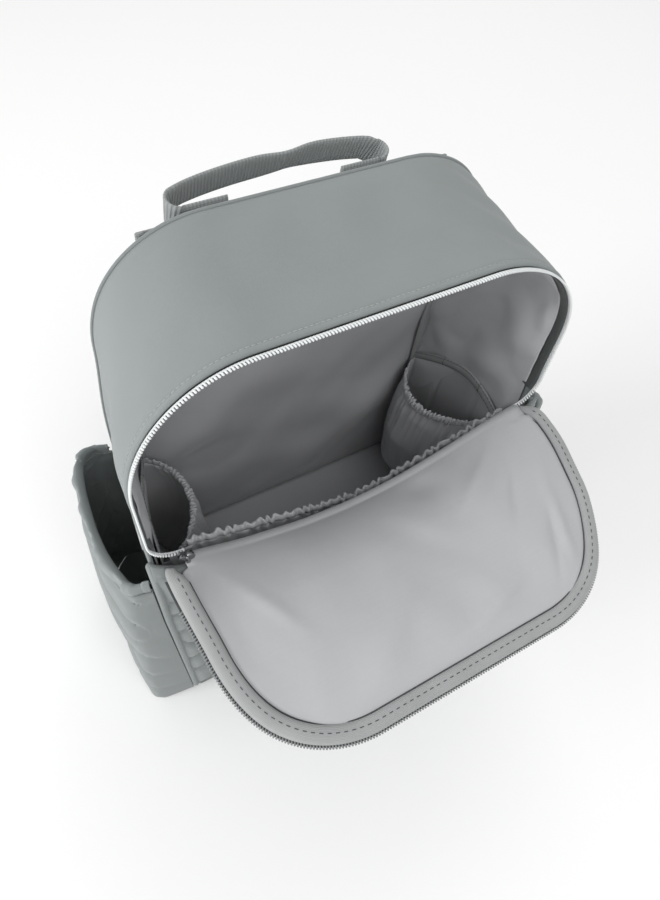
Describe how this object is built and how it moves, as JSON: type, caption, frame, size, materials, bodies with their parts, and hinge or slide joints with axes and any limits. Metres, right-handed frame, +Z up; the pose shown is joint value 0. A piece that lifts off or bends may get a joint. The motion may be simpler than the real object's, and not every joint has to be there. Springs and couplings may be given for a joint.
{
  "type": "diaper backpack",
  "caption": "Upright baby-care backpack whose zipped upper front folds down as a flap, with gathered inner pockets, quilted side pockets, webbing handle and padded shoulder straps.",
  "frame": {"origin": "centre of the body's base, on the surface it stands on", "axes": "+Z up, -Y out of the zipped opening at the front, +X to the right seen from the front"},
  "size_m": [0.3812, 0.3253, 0.4031],
  "materials": {
    "shell": "matte woven polyester",
    "quilt": "quilted polyester",
    "lining": "satin lining cloth",
    "binding": "grosgrain binding tape",
    "webbing": "ribbed webbing",
    "tape": "zip tape",
    "teeth": "moulded coil",
    "metal": "satin die cast",
    "plastic": "fine moulded grain",
    "board": "plain sheet",
    "mesh": "padded air mesh"
  },
  "bodies": {
    "bag_body": {"base_panel": "shell", "base_board": "board", "base_lining": "lining", "gusset_side_left": "shell", "gusset_side_right": "shell", "gusset_top": "shell", "gusset_lining": "lining", "back_shell": "shell", "back_pad": "mesh", "back_yoke": "shell", "back_lining": "lining", "front_panel_lower": "quilt", "front_lining_lower": "lining", "zip_tape_body": "tape", "zip_teeth_body": "teeth", "inner_front_pocket": "lining", "inner_front_pocket_elastic": "lining", "handle_end_left": "webbing", "handle_end_right": "webbing", "side_pocket_base_left": "quilt", "corner_piping_left": "binding", "side_pocket_left": "quilt", "side_pocket_hem_left": "shell", "inner_pocket_left": "lining", "inner_pocket_elastic_left": "lining", "slip_pocket_left": "lining", "slip_pocket_tape_left": "binding", "seam_binding_left": "binding", "strap_tab_left": "webbing", "strap_base_tab_left": "webbing", "side_pocket_base_right": "quilt", "corner_piping_right": "binding", "side_pocket_right": "quilt", "side_pocket_hem_right": "shell", "inner_pocket_right": "lining", "inner_pocket_elastic_right": "lining", "slip_pocket_right": "lining", "slip_pocket_tape_right": "binding", "seam_binding_right": "binding", "strap_tab_right": "webbing", "strap_base_tab_right": "webbing"},
    "front_flap": {"flap_shell": "quilt", "flap_lining": "lining", "flap_binding": "binding", "zip_tape_flap": "tape", "zip_teeth_flap": "teeth"},
    "carry_handle": {"handle_loop": "webbing"},
    "strap_left": {"strap_webbing_upper_left": "webbing", "strap_pad_left": "quilt", "strap_buckle_left": "plastic", "strap_webbing_lower_left": "webbing"},
    "slider_left": {"zip_slider_left": "metal"},
    "pull_left": {"zip_pull_left": "metal"},
    "strap_right": {"strap_webbing_upper_right": "webbing", "strap_pad_right": "quilt", "strap_buckle_right": "plastic", "strap_webbing_lower_right": "webbing"},
    "slider_right": {"zip_slider_right": "metal"},
    "pull_right": {"zip_pull_right": "metal"}
  },
  "joints": [
    {"name": "flap_fold", "type": "hinge", "parent": "bag_body", "child": "front_flap", "pos_m": [0, -0.072, 0.228], "axis": [-1, 0, 0], "range_deg": [-40, 106.8]},
    {"name": "handle_lift", "type": "hinge", "parent": "bag_body", "child": "carry_handle", "pos_m": [0, 0.04566, 0.39075], "axis": [1, 0, 0], "range_deg": [-30, 35]},
    {"name": "strap_swing_left", "type": "hinge", "parent": "bag_body", "child": "strap_left", "pos_m": [-0.094, 0.0503, 0.372], "axis": [0.0983, -0.1122, 0.9888], "range_deg": [-15, 15]},
    {"name": "zip_travel_left", "type": "hinge", "parent": "bag_body", "child": "slider_left", "pos_m": [-0.1375, -0.06836, 0.2485], "axis": [0, 0.9985, 0.0544], "range_deg": [0, 88]},
    {"name": "pull_swing_left", "type": "hinge", "parent": "slider_left", "child": "pull_left", "pos_m": [-0.1375, -0.07422, 0.2255], "axis": [-1, 0, 0], "range_deg": [0, 40]},
    {"name": "strap_swing_right", "type": "hinge", "parent": "bag_body", "child": "strap_right", "pos_m": [0.094, 0.0503, 0.372], "axis": [-0.0983, -0.1122, 0.9888], "range_deg": [-15, 15]},
    {"name": "zip_travel_right", "type": "hinge", "parent": "bag_body", "child": "slider_right", "pos_m": [0.1375, -0.06836, 0.2485], "axis": [0, -0.9985, -0.0544], "range_deg": [0, 88]},
    {"name": "pull_swing_right", "type": "hinge", "parent": "slider_right", "child": "pull_right", "pos_m": [0.1375, -0.07422, 0.2255], "axis": [-1, 0, 0], "range_deg": [0, 40]}
  ]
}
